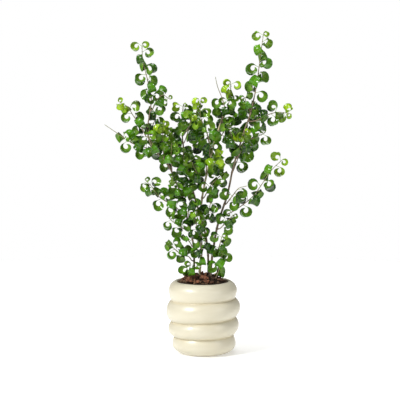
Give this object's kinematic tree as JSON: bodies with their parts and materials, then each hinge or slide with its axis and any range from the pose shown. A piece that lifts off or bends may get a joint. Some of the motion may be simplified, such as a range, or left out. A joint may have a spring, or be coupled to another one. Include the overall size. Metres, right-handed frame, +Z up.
{
  "type": "potted curly-leaf weeping fig",
  "caption": "Upright weeping fig with small glossy curled leaves on slim woody stems, growing in a cream ceramic pot of stacked bulging rings.",
  "frame": {"origin": "middle of the pot's flat base, on the surface that it stands on", "axes": "+Z up along the plant, +X to the viewer's right, -Y towards the viewer"},
  "size_m": [0.401, 0.1877, 0.6992],
  "materials": {
    "pot_ceramic": "satin, smooth, cream",
    "soil": "matt, crumbly, dark brown",
    "bark": "matt, rough, reddish brown",
    "pale_stem": "matt, smooth, pale yellowish bark",
    "woody_stem": "matt, brown-grey bark",
    "foliage": "glossy green above, paler and duller below"
  },
  "bodies": {
    "root": {"bark_chip_01": "bark", "bark_chip_02": "bark", "bark_chip_03": "bark", "bark_chip_04": "bark", "bark_chip_05": "bark", "bark_chip_06": "bark", "bark_chip_07": "bark", "centre_back_high_shoot": "foliage", "centre_back_shoot": "foliage", "centre_crown_shoot": "foliage", "centre_foot_shoot": "foliage", "centre_front_shoot": "foliage", "centre_inner_shoot": "foliage", "centre_leader": "foliage", "centre_left_shoot": "foliage", "centre_low_shoot": "foliage", "centre_top_shoot": "foliage", "centre_waist_shoot": "foliage", "green_back_high_shoot": "foliage", "green_back_left_shoot": "foliage", "green_back_shoot": "foliage", "green_crown_shoot": "foliage", "green_front_shoot": "foliage", "green_leader": "foliage", "green_low_shoot": "foliage", "green_waist_shoot": "foliage", "left_back_high_shoot": "foliage", "left_back_shoot": "foliage", "left_crown_shoot": "foliage", "left_far_shoot": "foliage", "left_front_shoot": "foliage", "left_high_shoot": "foliage", "left_inner_high_shoot": "foliage", "left_knee_shoot": "foliage", "left_leader": "foliage", "left_low_shoot": "foliage", "left_lower_shoot": "foliage", "left_mid_shoot": "foliage", "left_rosette_shoot": "foliage", "left_sprout": "foliage", "left_waist_shoot": "foliage", "pot": "pot_ceramic", "right_back_high_shoot": "foliage", "right_back_shoot": "foliage", "right_collar_shoot": "foliage", "right_crown_shoot": "foliage", "right_far_shoot": "foliage", "right_foot_shoot": "foliage", "right_front_shoot": "foliage", "right_inner_shoot": "foliage", "right_leader": "foliage", "right_low_shoot": "foliage", "right_lower_shoot": "foliage", "right_mid_shoot": "foliage", "right_sprout": "foliage", "soil": "soil", "stem_green": "woody_stem", "stem_left": "woody_stem", "stem_pale": "pale_stem", "stem_right": "woody_stem"}
  },
  "joints": []
}
